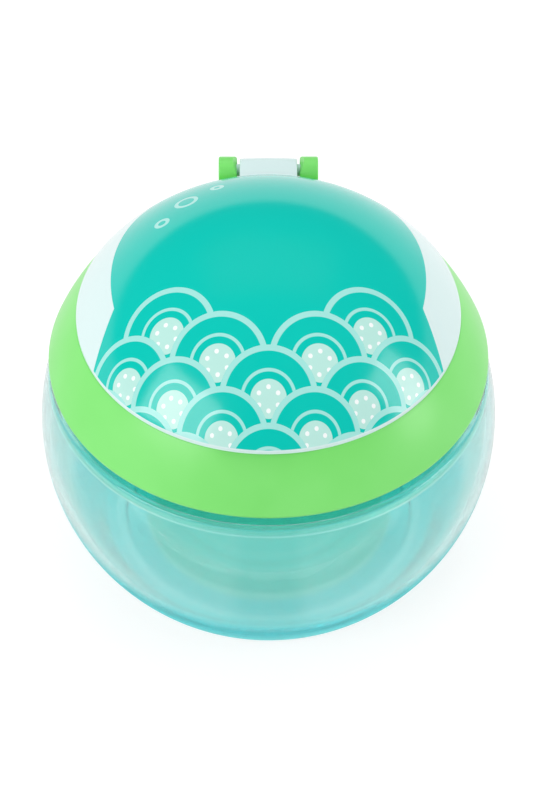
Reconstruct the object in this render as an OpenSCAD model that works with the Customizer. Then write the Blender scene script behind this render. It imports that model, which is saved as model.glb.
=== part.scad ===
// Toddler snack container: a round cup, a screw-on collar that carries six soft
// flaps, and a domed lid on a rear hinge. Millimetres, +Z up, the origin is the
// centre of the base on the table, the hinge is at +Y and the thumb scoop at -Y.

/* [Cup] */
// Radius of the round body
body_r = 47.5; // [46.5:0.25:50]
// Height of the body's widest line above the table
equator_z = 31; // [29:0.5:33]
// Rounding where the body turns into its flat base
base_corner_r = 4; // [2:0.5:6]
// Thickness of the cup's wall
cup_wall = 2; // [1.4:0.1:2.6]
// Thickness of the cup's floor
floor_t = 4; // [2.5:0.5:6]
// Rounding inside, where the wall turns into the floor
floor_round = 14; // [8:1:14]
// Height of the shoulder above the table
shoulder_z = 45; // [44:0.25:46]
// Rounding of the shoulder's outer edge
shoulder_round = 0.6; // [0.3:0.1:1]
// How far the neck's outside lies outside the edge of the lid
neck_out = 0.65; // [0.3:0.05:0.8]
// Height of the neck above the shoulder
neck_h = 9.6; // [9.2:0.1:11]
// Thickness of the neck's wall
neck_wall = 2; // [1.6:0.1:2.4]

/* [Thread] */
// Number of thread ramps on the neck, and of lugs in the collar
thread_starts = 4; // [3:1:4]
// Rise of the thread in one whole turn
thread_lead = 16; // [12:1:18]
// How far a ramp stands out from the neck
ramp_depth = 1.5; // [1:0.1:1.7]
// Thickness of a ramp, measured upward
ramp_t = 1.3; // [1:0.1:1.6]
// Angle that one ramp covers
ramp_span = 50; // [40:1:54]
// Height of a lug in the collar
lug_h = 1.4; // [1:0.1:1.6]
// Angle that one lug covers
lug_span = 12; // [8:1:14]
// Gap between a lug and the ramp above it
thread_gap = 0.3; // [0.2:0.05:0.4]
// Gap between thread crests and the walls that they face
crest_gap = 0.5; // [0.3:0.05:0.6]

/* [Collar] */
// How far the collar's ball stands out from the body's ball
collar_proud = 1; // [0.5:0.1:2]
// Height of the collar's ball centre over the body's widest line
collar_up = 1; // [0:0.25:2]
// Gap between the shoulder and the collar's lower edge
shoulder_gap = 3.7; // [2.5:0.1:4]
// Rounding of the collar's lower edge
collar_round = 0.6; // [0.3:0.1:1]
// Rounding of the collar's rim under the lid
rim_round = 0.4; // [0.2:0.1:0.6]
// Thickness of the deck across the collar
deck_t = 1.8; // [1.4:0.1:2.4]
// Width of the deck's lip round the mouth, measured in from the sleeve
mouth_lip = 3.7; // [3.2:0.1:4]
// Depth of the seat for the lid above the deck
seat_depth = 2.9; // [2.5:0.1:3.5]
// Thickness of the rim round the seat, at its top
rim_w = 3; // [2.6:0.1:3.4]
// Thickness of the inner sleeve that plugs into the neck
sleeve_t = 1.2; // [0.8:0.1:1.4]
// Gap between the sleeve and the inside of the neck
sleeve_gap = 0.7; // [0.4:0.05:1]
// Height of the sleeve's snap bead
bead_h = 0.4; // [0.3:0.05:0.6]
// How far the snap bead stands in from the sleeve
bead_in = 0.5; // [0.3:0.05:0.7]
// Slack between the snap bead and the clamp ring that it holds
bead_slack = 0.1; // [0.05:0.05:0.3]

/* [Thumb scoop] */
// Depth of the scoop at the top of the collar
scoop_depth = 1.6; // [1:0.1:1.8]
// Height of the scoop, from the top of the collar down
scoop_h = 5.4; // [4:0.2:7]
// Radius of the ball that makes the scoop
scoop_r = 150; // [100:10:300]

/* [Seal] */
// Thickness of the seal under the deck
seal_t = 1.5; // [1:0.1:2]
// Slack over the seal
seal_slack = 0.1; // [0.05:0.05:0.2]
// How far the seal reaches past the neck's outer face
seal_over = 0.6; // [0.2:0.1:0.7]
// Gap between the seal and the sleeve inside it
seal_gap = 0.3; // [0.2:0.05:0.35]

/* [Flaps] */
// Number of soft flaps
flap_count = 6; // [5:1:6]
// Distance from the mouth's edge in to the bending line of a flap
flap_back = 5.5; // [5.4:0.1:6.5]
// Thickness of a flap
flap_t = 1.2; // [0.9:0.1:1.4]
// Width of the slit between two flaps
slit_w = 0.5; // [0.4:0.1:1]
// Radius of the small hole where the slits meet
tip_hole_r = 1.6; // [1:0.1:3]
// Gap between a flap's round root and the flap ring
flap_gap = 0.3; // [0.25:0.05:0.4]
// Length trimmed from each end of a flap's round root
root_trim = 0.7; // [0.5:0.1:1.5]
// Thickness of the flap ring
insert_t = 1.4; // [1.4:0.1:1.8]
// Gap round the flap ring and the clamp ring, inside the sleeve
insert_gap = 0.15; // [0.1:0.05:0.3]
// Thickness of the clamp ring under the flap ring
clamp_t = 1.4; // [1:0.1:1.4]
// How far the clamp ring's hole is larger than the mouth
clamp_back = 0.3; // [0:0.1:0.6]

/* [Lid] */
// Height of the dome above its parting plane
dome_h = 21; // [18:0.5:24]
// Thickness of the dome
lid_wall = 1.6; // [1.2:0.1:2.2]
// Height of the lid's upright outer edge
edge_h = 0.8; // [0.5:0.1:1.2]
// Thickness of the flange that rests on the collar
flange_t = 1.6; // [1.2:0.1:2]
// Depth of the skirt that plugs into the seat
skirt_h = 2.4; // [1.8:0.1:2.4]
// Thickness of the skirt
skirt_t = 1.4; // [1:0.1:1.8]
// Gap between the skirt and the seat's wall
skirt_gap = 0.3; // [0.25:0.05:0.4]
// How far the skirt's click bead stands out
click_out = 0.15; // [0.1:0.05:0.2]
// Angle of the click bead at the front
click_span = 50; // [30:5:80]
// How far the thumb lip stands out from the lid's edge
lip_proud = 0.5; // [0.3:0.1:1]
// Radius of the thumb lip's own arc
lip_r = 30; // [26:1:34]

/* [Hinge] */
// Distance from the lid's edge back to the hinge axis
hinge_back = 5.6; // [5.2:0.1:5.6]
// Depth of the hinge axis below the lid's parting plane
hinge_drop = 1.4; // [1:0.1:1.8]
// Radius of the lid's knuckle
knuckle_r = 2.6; // [2.2:0.1:2.8]
// Width of the lid's knuckle
knuckle_w = 12.2; // [9:0.2:15]
// Gap between the knuckle and each ear
ear_gap = 0.6; // [0.4:0.1:0.8]
// Width of each ear
ear_w = 3.9; // [3:0.1:5]
// Radius of the ears' round tops
ear_r = 2.9; // [2.6:0.1:2.9]
// Radius of the stub axles moulded on the knuckle
stub_r = 1.3; // [1:0.05:1.5]
// Running clearance round a stub axle
stub_clearance = 0.06; // [0.03:0.01:0.1]
// How far a stub's end stays inside the ear's outer face
stub_inset = 0.3; // [0.2:0.1:1]
// Depth of the rear notch in the rim, for the hinge arm
notch_depth = 1.3; // [1.1:0.1:1.5]
// Gap between the hinge arm and its notch
notch_gap = 0.4; // [0.3:0.1:0.6]
// Chamfer on the knuckle's two ends
knuckle_chamfer = 0.3; // [0.1:0.1:0.5]
// Depth of the ears' webs below the lid's parting plane
web_drop = 3.4; // [3:0.1:4]
// Height of the ears' feet above the collar's lower edge
ear_foot = 3.2; // [2:0.2:5]

/* [Hidden] */
$fn = 96;
// A small length by which joined solids run into each other
eps = 0.2;
// Step of the arcs in the outlines, in degrees
arc_step = 3;
// Coarser step of the thread ramps, in degrees
ramp_step = 7.5;
// How far a ramp's band runs past each of its two cuts, in degrees
ramp_run = 2;

function ball_r_at(r, up) = sqrt(r * r - up * up);
// Points along an arc in an outline, from angle a0 to angle a1
function arc(centre, r, a0, a1, step = arc_step) =
    let (n = max(3, ceil(abs(a1 - a0) / step)))
    [for (i = [0:n]) let (a = a0 + (a1 - a0) * i / n) centre + r * [cos(a), sin(a)]];

// Levels, from the cup's shoulder up
shoulder_up = shoulder_z - equator_z;
cavity_top_z = shoulder_z - cup_wall;
neck_top_z = shoulder_z + neck_h;
deck_bottom_z = neck_top_z + seal_t + seal_slack;
deck_top_z = deck_bottom_z + deck_t;
part_z = deck_top_z + seat_depth;
collar_bottom_z = shoulder_z + shoulder_gap;
collar_ball_z = equator_z + collar_up;

// Radii, from the edge of the lid inward
collar_ball_r = body_r + collar_proud;
rim_r = ball_r_at(collar_ball_r, part_z - collar_ball_z);
seat_r = rim_r - rim_w;
neck_r = rim_r + neck_out;
neck_bore_r = neck_r - neck_wall;
cavity_r = body_r - cup_wall;
crest_r = neck_r + ramp_depth;
thread_wall_r = crest_r + crest_gap;
lug_tip_r = neck_r + crest_gap;
sleeve_r = neck_bore_r - sleeve_gap;
sleeve_bore_r = sleeve_r - sleeve_t;
mouth_r = sleeve_bore_r - mouth_lip;

// Thread: a ramp climbs with the angle, and a lug sits under its low end
deg_per_mm = 360 / thread_lead;
lug_low_z = collar_bottom_z + thread_gap;
lug_climb = lug_span / 2 / deg_per_mm;
ramp_under_z = lug_low_z + lug_h + thread_gap + lug_climb;
ramp_start = -lug_span / 2 - 2;

// Flap insert, hung under the deck inside the sleeve
insert_r = sleeve_bore_r - insert_gap;
insert_z = deck_bottom_z - insert_t;
bend_z = deck_bottom_z - insert_t / 2;
flap_reach = mouth_r - flap_back;
hole_reach = flap_reach + flap_t / 2 + flap_gap;
flap_half = flap_reach * tan(180 / flap_count);
clamp_z = insert_z - clamp_t;
bead_z = clamp_z - bead_slack - 2 * bead_h;

// Lid and hinge
dome_rise = dome_h - edge_h;
dome_r = (rim_r * rim_r + dome_rise * dome_rise) / (2 * dome_rise);
dome_z = part_z + dome_h - dome_r;
skirt_r = seat_r - skirt_gap;
click_z = part_z - skirt_h / 2;
hinge_y = rim_r + hinge_back;
hinge_z = part_z - hinge_drop;
ear_in = knuckle_w / 2 + ear_gap;
ear_out = ear_in + ear_w;
notch_z = part_z - notch_depth;
notch_half = knuckle_w / 2 + notch_gap;
notch_front_y = ball_r_at(seat_r, notch_half) - eps;
notch_edge_y = ball_r_at(collar_ball_r, notch_z - collar_ball_z);

// Outline of the cup's outside and inside, turned round Z
module cup_outline() {
    corner_r = sqrt(pow(body_r - base_corner_r, 2) - pow(equator_z - base_corner_r, 2));
    corner_turn = atan2(base_corner_r - equator_z, corner_r);
    shoulder_turn = asin((shoulder_up - shoulder_round) / body_r);
    edge_r = ball_r_at(body_r, shoulder_up - shoulder_round) - shoulder_round;
    round_z = floor_t + floor_round;
    round_r = ball_r_at(cavity_r - floor_round, equator_z - round_z);
    floor_turn = atan2(round_z - equator_z, round_r);
    ceiling_turn = asin((cavity_top_z - equator_z) / cavity_r);
    polygon(concat(
        [[0, 0]],
        arc([corner_r, base_corner_r], base_corner_r, -90, corner_turn),
        arc([0, equator_z], body_r, corner_turn, shoulder_turn),
        arc([edge_r, shoulder_z - shoulder_round], shoulder_round, shoulder_turn, 90),
        [[neck_r, shoulder_z], [neck_r, neck_top_z], [neck_bore_r, neck_top_z],
         [neck_bore_r, cavity_top_z]],
        arc([0, equator_z], cavity_r, ceiling_turn, floor_turn),
        arc([round_r, round_z], floor_round, floor_turn, -90),
        [[0, floor_t]]));
}

// One thread ramp: a twisted band, cut to its span
module thread_ramp() {
    band_angle = ramp_t * deg_per_mm;
    rise = (ramp_span + 2 * ramp_run) / deg_per_mm + ramp_t;
    band_start = ramp_start - ramp_run - band_angle;
    far = 2 * crest_r;
    intersection() {
        translate([0, 0, ramp_under_z + (ramp_start - ramp_run) / deg_per_mm])
            rotate([0, 0, band_start])
                linear_extrude(height = rise, twist = -rise * deg_per_mm,
                               slices = ceil(rise * deg_per_mm / ramp_step), $fn = 4)
                    polygon(concat(arc([0, 0], neck_r - eps, 0, band_angle, ramp_step),
                                   arc([0, 0], crest_r, band_angle, 0, ramp_step)));
        translate([0, 0, shoulder_z])
            linear_extrude(height = neck_h - thread_gap)
                polygon([[0, 0],
                         far * [cos(ramp_start), sin(ramp_start)],
                         far * [cos(ramp_start + ramp_span), sin(ramp_start + ramp_span)]]);
    }
}

module cup() {
    color([0.55, 0.83, 0.80, 0.7]) {
        rotate_extrude() cup_outline();
        for (i = [0:thread_starts - 1])
            rotate([0, 0, i * 360 / thread_starts]) thread_ramp();
    }
}

module mouth_seal() {
    color([0.93, 0.96, 0.95])
        translate([0, 0, neck_top_z])
            difference() {
                cylinder(r = neck_r + seal_over, h = seal_t);
                translate([0, 0, -eps]) cylinder(r = sleeve_r + seal_gap, h = seal_t + 2 * eps);
            }
}

// Outline of the collar without its lugs and ears, turned round Z
module collar_outline() {
    low_turn = asin((collar_bottom_z + collar_round - collar_ball_z) / collar_ball_r);
    low_r = ball_r_at(collar_ball_r, collar_bottom_z + collar_round - collar_ball_z);
    top_turn = asin((part_z - rim_round - collar_ball_z) / collar_ball_r);
    top_r = ball_r_at(collar_ball_r, part_z - rim_round - collar_ball_z);
    polygon(concat(
        [[thread_wall_r, collar_bottom_z]],
        arc([low_r - collar_round, collar_bottom_z + collar_round], collar_round, -90, 0),
        arc([0, collar_ball_z], collar_ball_r, low_turn, top_turn),
        arc([top_r - rim_round, part_z - rim_round], rim_round, top_turn, 90),
        [[seat_r, part_z],
         [seat_r, click_z + skirt_gap], [seat_r + skirt_gap, click_z],
         [seat_r, click_z - skirt_gap],
         [seat_r, deck_top_z], [mouth_r, deck_top_z], [mouth_r, deck_bottom_z],
         [sleeve_bore_r, deck_bottom_z], [sleeve_bore_r, bead_z + 2 * bead_h],
         [sleeve_bore_r - bead_in, bead_z + bead_h], [sleeve_bore_r - bead_in, bead_z],
         [sleeve_r, bead_z], [sleeve_r, deck_bottom_z],
         [neck_r + seal_over + seal_gap, deck_bottom_z],
         [thread_wall_r, neck_top_z]]));
}

// One ear of the hinge: a round top on a web that runs down into the collar
module ear() {
    foot_z = collar_bottom_z + ear_foot;
    foot_r = ball_r_at(collar_ball_r, foot_z - collar_ball_z);
    foot_y = ball_r_at(foot_r, ear_out) - eps;
    wall_y = ball_r_at(thread_wall_r, ear_in) + eps;
    rim_y = ball_r_at(rim_r, ear_out);
    front_y = hinge_y - ear_r;
    difference() {
        translate([ear_in, 0, 0]) rotate([90, 0, 90])
            linear_extrude(height = ear_w) {
                translate([hinge_y, hinge_z]) circle(r = ear_r, $fn = 48);
                polygon([[front_y, hinge_z], [hinge_y + ear_r, hinge_z],
                         [foot_y, foot_z], [wall_y, foot_z], [wall_y, deck_bottom_z],
                         [rim_y, deck_bottom_z], [rim_y, part_z - web_drop],
                         [front_y, part_z - web_drop]]);
            }
        translate([0, hinge_y, hinge_z]) rotate([0, 90, 0])
            cylinder(r = stub_r + stub_clearance, h = ear_out + eps);
    }
}

// A large ball through the scoop's top and foot, as seen from the side
module scoop_cutter() {
    foot_z = part_z - scoop_h;
    top = [rim_r - scoop_depth, part_z];
    foot = [ball_r_at(collar_ball_r, foot_z - collar_ball_z), foot_z];
    chord = foot - top;
    outward = [-chord[1], chord[0]] / norm(chord);
    centre = (top + foot) / 2 + ball_r_at(scoop_r, norm(chord) / 2) * outward;
    translate([0, -centre[0], centre[1]]) sphere(r = scoop_r, $fn = 128);
}

module collar() {
    color([0.55, 0.90, 0.50]) {
        difference() {
            rotate_extrude() collar_outline();
            scoop_cutter();
            translate([-notch_half, notch_front_y, notch_z])
                cube([2 * notch_half, 2 * rim_w + eps, 2 * notch_depth]);
        }
        for (side = [0, 1]) mirror([side, 0, 0]) ear();
        for (i = [0:thread_starts - 1])
            rotate([0, 0, i * 360 / thread_starts - lug_span / 2])
                translate([0, 0, lug_low_z])
                    rotate_extrude(angle = lug_span)
                        translate([lug_tip_r, 0])
                            square([thread_wall_r + eps - lug_tip_r, lug_h]);
    }
}

// The soft ring that carries the flaps, with a straight edge for each flap
module flap_ring() {
    color([0.97, 0.99, 0.98])
        translate([0, 0, insert_z])
            difference() {
                cylinder(r = insert_r, h = insert_t);
                translate([0, 0, -eps])
                    rotate([0, 0, 180 / flap_count])
                        cylinder(r = hole_reach / cos(180 / flap_count),
                                 h = insert_t + 2 * eps, $fn = flap_count);
            }
}

module flap_clamp() {
    color([0.55, 0.90, 0.50])
        translate([0, 0, clamp_z])
            difference() {
                cylinder(r = insert_r, h = clamp_t);
                translate([0, 0, -eps]) cylinder(r = mouth_r + clamp_back, h = clamp_t + 2 * eps);
            }
}

// One flap: a wedge of the round mouth on a round root, which is its bending line
module flap(index) {
    slit_back = slit_w / 2 / sin(180 / flap_count);
    root_half = flap_half - slit_w / 2 / cos(180 / flap_count);
    color([0.97, 0.99, 0.98])
        rotate([0, 0, index * 360 / flap_count])
            translate([0, 0, bend_z]) {
                difference() {
                    translate([0, 0, -flap_t / 2])
                        linear_extrude(height = flap_t)
                            polygon([[slit_back, 0], [flap_reach, -root_half],
                                     [flap_reach, root_half]]);
                    translate([0, 0, -flap_t]) cylinder(r = tip_hole_r, h = 2 * flap_t);
                }
                translate([flap_reach, root_half - root_trim, 0])
                    rotate([90, 0, 0])
                        cylinder(r = flap_t / 2, h = 2 * (root_half - root_trim), $fn = 32);
            }
}

// Outline of the lid without its lip and hinge arm, turned round Z
module lid_outline() {
    inner_r = dome_r - lid_wall;
    flange_top = part_z + flange_t;
    flange_turn = asin((flange_top - dome_z) / inner_r);
    edge_turn = asin((part_z + edge_h - dome_z) / dome_r);
    polygon(concat(
        [[skirt_r - skirt_t, part_z - skirt_h], [skirt_r, part_z - skirt_h],
         [skirt_r, part_z], [rim_r, part_z]],
        arc([0, dome_z], dome_r, edge_turn, 90),
        arc([0, dome_z], inner_r, 90, flange_turn),
        [[skirt_r - skirt_t, flange_top]]));
}

// Bead on the front of the skirt that clicks into the groove in the seat
module click_bead() {
    rotate([0, 0, -90 - click_span / 2])
        rotate_extrude(angle = click_span)
            polygon([[skirt_r - eps, click_z - 2 * click_out],
                     [skirt_r + click_out, click_z],
                     [skirt_r - eps, click_z + 2 * click_out]]);
}

module thumb_lip() {
    intersection() {
        translate([0, lip_r - rim_r - lip_proud, part_z]) cylinder(r = lip_r, h = edge_h);
        translate([-lip_r / 2, -rim_r - 2 * lip_proud, part_z])
            cube([lip_r, rim_w + 2 * lip_proud, edge_h]);
    }
}

// Arm from the flange back to the knuckle, with the two stub axles
module hinge_arm() {
    arm_front_y = skirt_r - skirt_t / 2;
    arm_under_z = notch_z + notch_gap;
    arm_top_z = hinge_z + knuckle_r;
    straight = knuckle_w / 2 - knuckle_chamfer;
    translate([-knuckle_w / 2, 0, 0]) rotate([90, 0, 90])
        linear_extrude(height = knuckle_w)
            polygon([[arm_front_y, arm_under_z], [notch_edge_y + notch_gap, arm_under_z],
                     [hinge_y - knuckle_r * cos(30), hinge_z - knuckle_r * sin(30)],
                     [hinge_y, hinge_z], [hinge_y, arm_top_z], [arm_front_y, arm_top_z]]);
    translate([0, hinge_y, hinge_z]) rotate([0, 90, 0]) {
        cylinder(r = knuckle_r, h = 2 * straight, center = true);
        for (side = [0, 1]) mirror([0, 0, side])
            translate([0, 0, straight])
                cylinder(r1 = knuckle_r, r2 = knuckle_r - knuckle_chamfer, h = knuckle_chamfer);
        cylinder(r = stub_r, h = 2 * (ear_out - stub_inset), center = true);
    }
}

module lid() {
    color([0.86, 0.95, 0.94]) {
        rotate_extrude() lid_outline();
        click_bead();
        thumb_lip();
        hinge_arm();
    }
}

cup();
mouth_seal();
collar();
flap_ring();
flap_clamp();
flap(0);  // flap_1
flap(1);  // flap_2
flap(2);  // flap_3
flap(3);  // flap_4
flap(4);  // flap_5
flap(5);  // flap_6
lid();
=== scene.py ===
# %% [markdown]
# # A toddler snack container
# This lesson dresses a imported CAD model of a round snack cup: a translucent aqua
# cup, a light green screw-on collar with six soft flaps in its mouth, and a mint
# domed lid on a rear hinge. The CAD model is the frame. It says where each piece
# is and how it moves, and each piece made here, apart from the flaps, rides on one
# of its bodies.

# %% Load the frame
import math
import bmesh
import bpy
from mathutils import Matrix, Vector


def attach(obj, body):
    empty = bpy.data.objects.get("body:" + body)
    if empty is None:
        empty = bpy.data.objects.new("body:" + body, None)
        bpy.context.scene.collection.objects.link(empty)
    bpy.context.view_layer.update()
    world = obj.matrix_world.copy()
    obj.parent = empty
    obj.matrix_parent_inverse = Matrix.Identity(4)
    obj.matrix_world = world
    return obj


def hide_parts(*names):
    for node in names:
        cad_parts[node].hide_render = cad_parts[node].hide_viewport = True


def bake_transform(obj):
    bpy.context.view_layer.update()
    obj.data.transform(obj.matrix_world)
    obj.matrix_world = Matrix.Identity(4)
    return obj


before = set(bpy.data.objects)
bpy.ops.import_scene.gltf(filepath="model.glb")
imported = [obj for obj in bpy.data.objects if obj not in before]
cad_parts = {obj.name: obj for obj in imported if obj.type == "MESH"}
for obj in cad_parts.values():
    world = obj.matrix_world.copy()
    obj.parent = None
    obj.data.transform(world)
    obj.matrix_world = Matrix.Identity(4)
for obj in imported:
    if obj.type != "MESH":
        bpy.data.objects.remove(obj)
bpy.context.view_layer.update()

# %% [markdown]
# Everything is drawn in millimetres, because a moulder's drawing is, and turned
# into metres in one place. The levels below are those of the CAD model, from the
# table up, and the radii follow from them in the same way as they do there.

# %% Sizes of the real object
MM = 0.001
BODY_R, EQUATOR_Z = 47.5, 31.0
SHOULDER_Z, NECK_TOP_Z = 45.0, 54.6
COLLAR_R, COLLAR_BALL_Z, COLLAR_LOW_Z = 48.5, 32.0, 48.7
DECK_LOW_Z, DECK_TOP_Z, PART_Z = 56.2, 58.0, 60.9
HINGE_DROP, HINGE_BACK = 1.4, 5.6
LID_TOP_Z, EDGE_H = 81.9, 0.8
FLAP_COUNT, BEND_Z = 6, 55.5


def ball_radius(ball, height):
    """The radius of a ball's level at a height from its centre."""
    return math.sqrt(ball * ball - height * height)


RIM_R = ball_radius(COLLAR_R, PART_Z - COLLAR_BALL_Z)
SEAT_R = RIM_R - 3.0
NECK_R = RIM_R + 0.65
BORE_R = NECK_R - 2.0
CREST_R = NECK_R + 1.5
THREAD_WALL_R = CREST_R + 0.5
SLEEVE_R = BORE_R - 0.7
SLEEVE_BORE_R = SLEEVE_R - 1.2
MOUTH_R = SLEEVE_BORE_R - 3.7
FLAP_REACH = MOUTH_R - 5.5
HINGE_Y, HINGE_Z = RIM_R + HINGE_BACK, PART_Z - HINGE_DROP
DOME_RISE = LID_TOP_Z - PART_Z - EDGE_H
DOME_R = (RIM_R ** 2 + DOME_RISE ** 2) / (2 * DOME_RISE)
DOME_Z = LID_TOP_Z - DOME_R
print("rim %.2f, neck %.2f, mouth %.2f, dome %.2f mm" % (RIM_R, NECK_R, MOUTH_R, DOME_R))

# %% [markdown]
# Nearly all of this object is turned. Its half section could be a curve with a
# Screw modifier, but a bmesh keeps the corners exact: a vertex is extruded from
# point to point, spun about a centre where the section is round, its corners are
# bevelled while it is still a wire, and the wire is spun about the axis.

# %% The half section of a turned piece
TURN_STEPS = 256


class Section:
    """A half section in the XZ plane, drawn point by point in millimetres."""

    def __init__(self, r, z):
        self.bm = bmesh.new()
        self.tip = self.bm.verts.new((r * MM, 0, z * MM))
        self.corners = []

    def line(self, r, z, rounding=0):
        """Goes straight to a point, whose corner may get a rounding."""
        made = bmesh.ops.extrude_vert_indiv(self.bm, verts=[self.tip])
        self.tip = made["verts"][0]
        self.tip.co = (r * MM, 0, z * MM)
        if rounding:
            self.corners.append((self.tip, rounding))
        return self

    def arc(self, centre_z, r, z, steps):
        """Goes round a centre on the axis, or on the given (r, z), to the side of a point."""
        cr, cz = centre_z if isinstance(centre_z, tuple) else (0.0, centre_z)
        start = math.atan2(self.tip.co.z / MM - cz, self.tip.co.x / MM - cr)
        angle = math.atan2(z - cz, r - cr) - start
        made = bmesh.ops.spin(self.bm, geom=[self.tip], cent=(cr * MM, 0, cz * MM),
                              axis=(0, -1, 0), angle=angle, steps=steps)
        self.tip = made["geom_last"][0]
        return self

    def turned(self, closed=False, steps=TURN_STEPS):
        """Rounds the corners and spins the section once round the axis."""
        bm = self.bm
        bm.verts.ensure_lookup_table()
        if closed:
            bm.edges.new((self.tip, bm.verts[0]))
        for vert, rounding in self.corners:
            bmesh.ops.bevel(bm, geom=[vert], offset=rounding * MM, offset_type="OFFSET",
                            segments=5, profile=0.5, affect="VERTICES", material=-1)
        bmesh.ops.spin(bm, geom=bm.verts[:] + bm.edges[:], cent=(0, 0, 0), axis=(0, 0, 1),
                       angle=2 * math.pi, steps=steps, use_merge=True)
        return bm


# %% [markdown]
# A finished bmesh becomes an object at the origin. Doubles are merged first, and
# then the faces are turned outwards. An edge stays sharp where its faces meet at
# more than 32 degrees, and weighted normals keep wide flat faces flat beside their
# small roundings.

# %% From bmesh to object
SHARP = math.radians(32)


def piece_from(name, bm):
    """Cleans a bmesh and links it as an object."""
    bmesh.ops.remove_doubles(bm, verts=bm.verts, dist=1e-7)
    bmesh.ops.recalc_face_normals(bm, faces=bm.faces)
    mesh = bpy.data.meshes.new(name)
    bm.to_mesh(mesh)
    bm.free()
    piece = bpy.data.objects.new(name, mesh)
    bpy.context.scene.collection.objects.link(piece)
    return piece


def shade(piece):
    """Smooth faces, sharp corners, and normals weighted by the faces' sizes."""
    bm = bmesh.new()
    bm.from_mesh(piece.data)
    for face in bm.faces:
        face.smooth = True
    for edge in bm.edges:
        edge.smooth = edge.calc_face_angle(0) < SHARP
    bm.to_mesh(piece.data)
    bm.free()
    weighted = piece.modifiers.new("Weighted normals", "WEIGHTED_NORMAL")
    weighted.keep_sharp = True
    print(piece.name, len(piece.data.polygons), "faces")
    return piece


def combine(piece, other, operation):
    """Applies a Boolean with another object, which is then removed."""
    boolean = piece.modifiers.new("Boolean", "BOOLEAN")
    boolean.operation, boolean.solver, boolean.object = operation, "EXACT", other
    graph = bpy.context.evaluated_depsgraph_get()
    result = bpy.data.meshes.new_from_object(piece.evaluated_get(graph))
    piece.modifiers.clear()
    piece.data = result
    bpy.data.objects.remove(other)
    return piece


# %% [markdown]
# The cup is one moulding: a ball with a flat base, a thick clear floor, a shoulder
# and a neck. Inside, a large rounding leads from the wall into the floor, so that
# no crumbs stay in a corner. The base stands on a narrow ring, because a moulder
# hollows it a little so that it doesn't rock. The shoulder has a raised lip at its
# edge, which catches the light as a double line. The CAD model has neither the
# hollow nor the lip.

# %% The cup's turned body
BASE_CORNER, WALL, FLOOR_T, FLOOR_ROUND, SHOULDER_T = 4.0, 2.0, 4.0, 14.0, 2.4
CAVITY_R = BODY_R - WALL
CEILING_Z = SHOULDER_Z - SHOULDER_T
ROUND_Z = FLOOR_T + FLOOR_ROUND
ROUND_R = ball_radius(CAVITY_R - FLOOR_ROUND, EQUATOR_Z - ROUND_Z)
ROUND_SCALE = CAVITY_R / (CAVITY_R - FLOOR_ROUND)
CORNER_R = math.sqrt((BODY_R - BASE_CORNER) ** 2 - (EQUATOR_Z - BASE_CORNER) ** 2)
JOIN_SCALE = BODY_R / (BODY_R - BASE_CORNER)
LIP_W, LIP_H, LIP_ROUND = 1.05, 1.0, 0.5
LIP_Z = SHOULDER_Z + LIP_H
LIP_START_Z = LIP_Z - LIP_ROUND - 0.1
EDGE_R = ball_radius(BODY_R, LIP_Z - EQUATOR_Z)
HOLLOW, HOLLOW_R, HOLLOW_SLOPE = 0.5, CORNER_R - 3.0, 0.6
BORE_FOOT = 1.3

cup_section = (
    Section(0, HOLLOW)
    .line(HOLLOW_R, HOLLOW, 0.2)
    .line(HOLLOW_R + HOLLOW_SLOPE, 0, 0.2)
    .line(CORNER_R, 0)
    .arc((CORNER_R, BASE_CORNER), CORNER_R * JOIN_SCALE,
         EQUATOR_Z + (BASE_CORNER - EQUATOR_Z) * JOIN_SCALE, 12)
    .arc(EQUATOR_Z, ball_radius(BODY_R, LIP_START_Z - EQUATOR_Z), LIP_START_Z, 44)
    .line(EDGE_R - 0.05, LIP_Z, LIP_ROUND)
    .line(EDGE_R - LIP_W, LIP_Z, 0.12)
    .line(EDGE_R - LIP_W - 0.2, SHOULDER_Z, 0.3)
    .line(NECK_R, SHOULDER_Z, 0.3)
    .line(NECK_R, NECK_TOP_Z, 0.4)
    .line(BORE_R, NECK_TOP_Z, 0.4)
    .line(BORE_R, SHOULDER_Z - BORE_FOOT, 0.6)
    .line(ball_radius(CAVITY_R, CEILING_Z - EQUATOR_Z), CEILING_Z)
    .arc(EQUATOR_Z, ROUND_R * ROUND_SCALE, EQUATOR_Z + (ROUND_Z - EQUATOR_Z) * ROUND_SCALE, 34)
    .arc((ROUND_R, ROUND_Z), ROUND_R, FLOOR_T, 16)
    .line(0, FLOOR_T)
)
cup = piece_from("cup_shell", cup_section.turned())

# %% [markdown]
# Four thread ramps climb the neck. Each is a small rectangle that is spun and
# lifted at once, which the spin operator does when it gets a dvec.

# %% The thread ramps
THREAD_STARTS, LEAD = 4, 16.0
RAMP_START, RAMP_SPAN, RAMP_T, RAMP_LOW_Z = -8.0, 50.0, 1.3, 50.97
RAMP_ROOT, RAMP_CHAMFER = 0.4, 0.3


def box_between(bm, low, high):
    """A box from its lowest to its highest corner, in millimetres."""
    made = bmesh.ops.create_cube(bm, size=MM)["verts"]
    size = Vector(high) - Vector(low)
    bmesh.ops.scale(bm, vec=size, verts=made)
    bmesh.ops.translate(bm, vec=(Vector(low) + size / 2) * MM, verts=made)
    return made


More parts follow.
